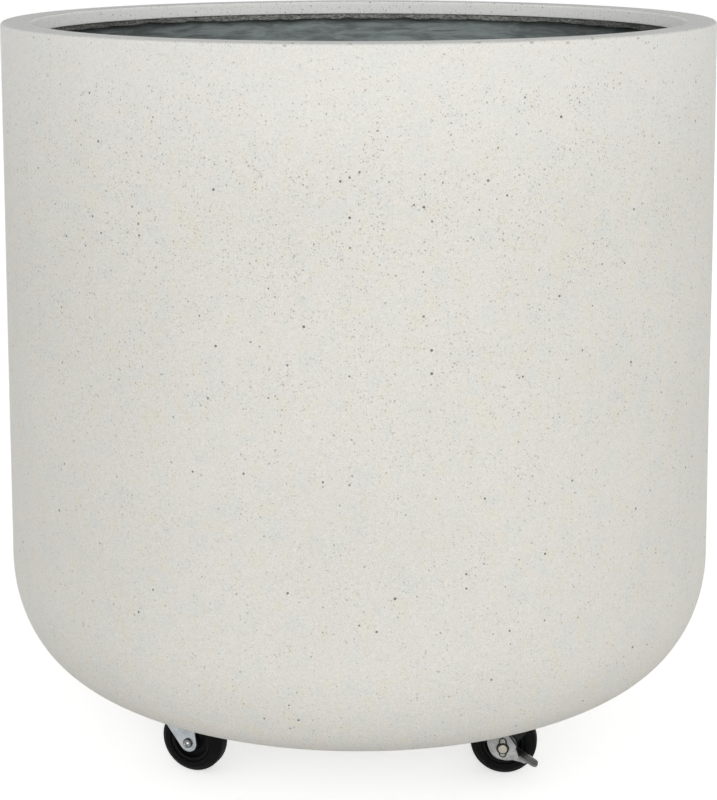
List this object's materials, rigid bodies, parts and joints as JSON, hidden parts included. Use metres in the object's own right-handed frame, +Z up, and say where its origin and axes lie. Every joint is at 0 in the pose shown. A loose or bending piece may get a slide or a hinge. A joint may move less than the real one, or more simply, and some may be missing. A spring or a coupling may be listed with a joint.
{
  "type": "rolling planter",
  "caption": "Round cast stone planter with a rolled-in rim and a grey fibre lining, on swivel casters with zinc forks, black wheels and side brakes.",
  "frame": {"origin": "on the floor under the centre of the pot, at the bottom of the wheels", "axes": "+Z up through the middle of the mouth; -Y towards the side that the picture shows; +X to its right"},
  "size_m": [0.567, 0.5668, 0.568],
  "materials": {
    "cast_stone": "off-white terrazzo with fine dark and tan chips, smooth and matt",
    "fibre_lining": "rough blue-grey fibre and resin",
    "grey_rubber": "matt dark rubber",
    "brass": "plain turned brass",
    "bright_zinc": "bright zinc plated steel",
    "zinc_plate": "grey zinc plated steel sheet",
    "rivet_steel": "plain zinc plated steel",
    "ball_steel": "polished bearing steel",
    "black_plastic": "moulded black nylon",
    "black_rubber": "matt black rubber"
  },
  "bodies": {
    "planter": {"planter_shell": "cast_stone", "inner_lining": "fibre_lining", "drain_plug": "grey_rubber", "caster_inserts": "brass", "caster_screws": "bright_zinc", "top_plate_front_left": "zinc_plate", "swivel_rivet_front_left": "rivet_steel", "ball_cup_front_left": "zinc_plate", "top_plate_front_right": "zinc_plate", "swivel_rivet_front_right": "rivet_steel", "ball_cup_front_right": "zinc_plate", "top_plate_back_left": "zinc_plate", "swivel_rivet_back_left": "rivet_steel", "ball_cup_back_left": "zinc_plate", "top_plate_back_right": "zinc_plate", "swivel_rivet_back_right": "rivet_steel", "ball_cup_back_right": "zinc_plate"},
    "swivel_front_left": {"fork_front_left": "zinc_plate", "axle_sleeve_front_left": "rivet_steel", "axle_rivet_front_left": "rivet_steel", "upper_balls_front_left": "ball_steel", "lower_balls_front_left": "ball_steel"},
    "wheel_front_left": {"wheel_hub_front_left": "black_plastic", "tyre_front_left": "black_rubber"},
    "swivel_front_right": {"fork_front_right": "zinc_plate", "axle_sleeve_front_right": "rivet_steel", "axle_rivet_front_right": "rivet_steel", "upper_balls_front_right": "ball_steel", "lower_balls_front_right": "ball_steel", "cam_washer_front_right": "rivet_steel"},
    "wheel_front_right": {"wheel_hub_front_right": "black_plastic", "tyre_front_right": "black_rubber"},
    "brake_front_right": {"brake_lever_front_right": "bright_zinc", "lever_key_front_right": "bright_zinc"},
    "swivel_back_left": {"fork_back_left": "zinc_plate", "axle_sleeve_back_left": "rivet_steel", "axle_rivet_back_left": "rivet_steel", "upper_balls_back_left": "ball_steel", "lower_balls_back_left": "ball_steel", "cam_washer_back_left": "rivet_steel"},
    "wheel_back_left": {"wheel_hub_back_left": "black_plastic", "tyre_back_left": "black_rubber"},
    "brake_back_left": {"brake_lever_back_left": "bright_zinc", "lever_key_back_left": "bright_zinc"},
    "swivel_back_right": {"fork_back_right": "zinc_plate", "axle_sleeve_back_right": "rivet_steel", "axle_rivet_back_right": "rivet_steel", "upper_balls_back_right": "ball_steel", "lower_balls_back_right": "ball_steel"},
    "wheel_back_right": {"wheel_hub_back_right": "black_plastic", "tyre_back_right": "black_rubber"}
  },
  "joints": [
    {"name": "front_left_swivel", "type": "hinge", "parent": "planter", "child": "swivel_front_left", "pos_m": [-0.13789, -0.13789, 0.0554], "axis": [0, 0, 1], "continuous": true},
    {"name": "front_left_wheel", "type": "hinge", "parent": "swivel_front_left", "child": "wheel_front_left", "pos_m": [-0.11903, -0.14456, 0.0254], "axis": [0.3338, 0.9426, 0], "continuous": true},
    {"name": "front_right_swivel", "type": "hinge", "parent": "planter", "child": "swivel_front_right", "pos_m": [0.13789, -0.13789, 0.0554], "axis": [0, 0, 1], "continuous": true},
    {"name": "front_right_wheel", "type": "hinge", "parent": "swivel_front_right", "child": "wheel_front_right", "pos_m": [0.11793, -0.13649, 0.0254], "axis": [-0.0698, -0.9976, 0], "continuous": true},
    {"name": "front_right_brake", "type": "hinge", "parent": "swivel_front_right", "child": "brake_front_right", "pos_m": [0.11793, -0.13649, 0.0254], "axis": [-0.0698, -0.9976, 0], "range_deg": [0, 45]},
    {"name": "back_left_swivel", "type": "hinge", "parent": "planter", "child": "swivel_back_left", "pos_m": [-0.13789, 0.13789, 0.0554], "axis": [0, 0, 1], "continuous": true},
    {"name": "back_left_wheel", "type": "hinge", "parent": "swivel_back_left", "child": "wheel_back_left", "pos_m": [-0.1285, 0.15554, 0.0254], "axis": [-0.8829, 0.4695, 0], "continuous": true},
    {"name": "back_left_brake", "type": "hinge", "parent": "swivel_back_left", "child": "brake_back_left", "pos_m": [-0.1285, 0.15554, 0.0254], "axis": [-0.8829, 0.4695, 0], "range_deg": [0, 45]},
    {"name": "back_right_swivel", "type": "hinge", "parent": "planter", "child": "swivel_back_right", "pos_m": [0.13789, 0.13789, 0.0554], "axis": [0, 0, 1], "continuous": true},
    {"name": "back_right_wheel", "type": "hinge", "parent": "swivel_back_right", "child": "wheel_back_right", "pos_m": [0.12557, 0.15365, 0.0254], "axis": [-0.788, -0.6157, 0], "continuous": true}
  ]
}
